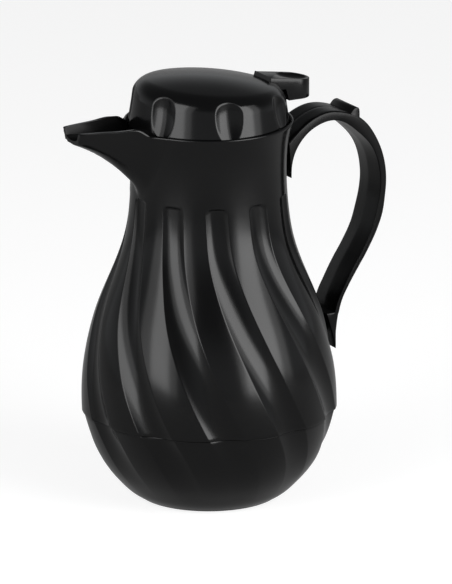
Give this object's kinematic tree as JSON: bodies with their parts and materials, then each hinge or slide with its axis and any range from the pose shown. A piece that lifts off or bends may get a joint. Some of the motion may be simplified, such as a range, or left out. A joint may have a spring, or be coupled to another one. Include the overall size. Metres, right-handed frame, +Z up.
{
  "type": "thermal jug",
  "caption": "Insulated serving jug with a swirl-fluted body, open spout, loop handle and a domed twist-off lid whose thumb lever lifts a sprung pouring valve.",
  "frame": {"origin": "centre of the foot on the surface that the jug stands on", "axes": "+Z up, +X towards the handle, -X towards the spout"},
  "size_m": [0.2186, 0.1637, 0.2754],
  "materials": {
    "shell": "polished",
    "bowl": "polished",
    "handle": "polished",
    "cap": "polished",
    "lever": "polished",
    "plug": "satin",
    "foam": "cellular",
    "liner": "satin",
    "seal": "matte",
    "stopper": "satin",
    "valve": "satin",
    "nut": "turned",
    "screw": "plated",
    "steel": "drawn"
  },
  "bodies": {
    "jug": {"outer_shell": "shell", "base_bowl": "bowl", "foam_plug": "plug", "foam_insulation": "foam", "inner_liner": "liner", "liner_seal": "seal", "handle": "handle", "handle_screws": "screw"},
    "gasket": {"stopper_gasket": "seal"},
    "lid": {"stopper_body": "stopper", "stopper_cover": "stopper", "cover_seal": "seal", "lid_cap": "cap", "lid_screws": "screw", "lever_pin": "steel", "stem_seal": "seal"},
    "lever": {"thumb_lever": "lever"},
    "valve": {"valve_stem": "valve", "valve_plug": "valve", "valve_seal": "seal", "lifting_nut": "nut", "valve_spring": "steel"}
  },
  "joints": [
    {"name": "lid_lift", "type": "slide", "parent": "jug", "child": "gasket", "axis": [0, 0, 1], "range_m": [0, 0.06]},
    {"name": "lid_turn", "type": "hinge", "parent": "gasket", "child": "lid", "pos_m": [0, 0, 0.2354], "axis": [0, 0, 1], "range_deg": [0, 120]},
    {"name": "lever_press", "type": "hinge", "parent": "lid", "child": "lever", "pos_m": [0.036, 0, 0.258], "axis": [0, 1, 0], "range_deg": [0, 7], "stiffness_Nm_per_rad": 1.6, "springref_deg": -6.88},
    {"name": "valve_rise", "type": "slide", "parent": "lid", "child": "valve", "axis": [0, 0, 1], "range_m": [0, 0.0045], "deforming": ["valve_spring"]}
  ],
  "couplings": [
    {"joint": "valve_rise", "follows": "lever_press", "m_per_rad": 0.036}
  ]
}
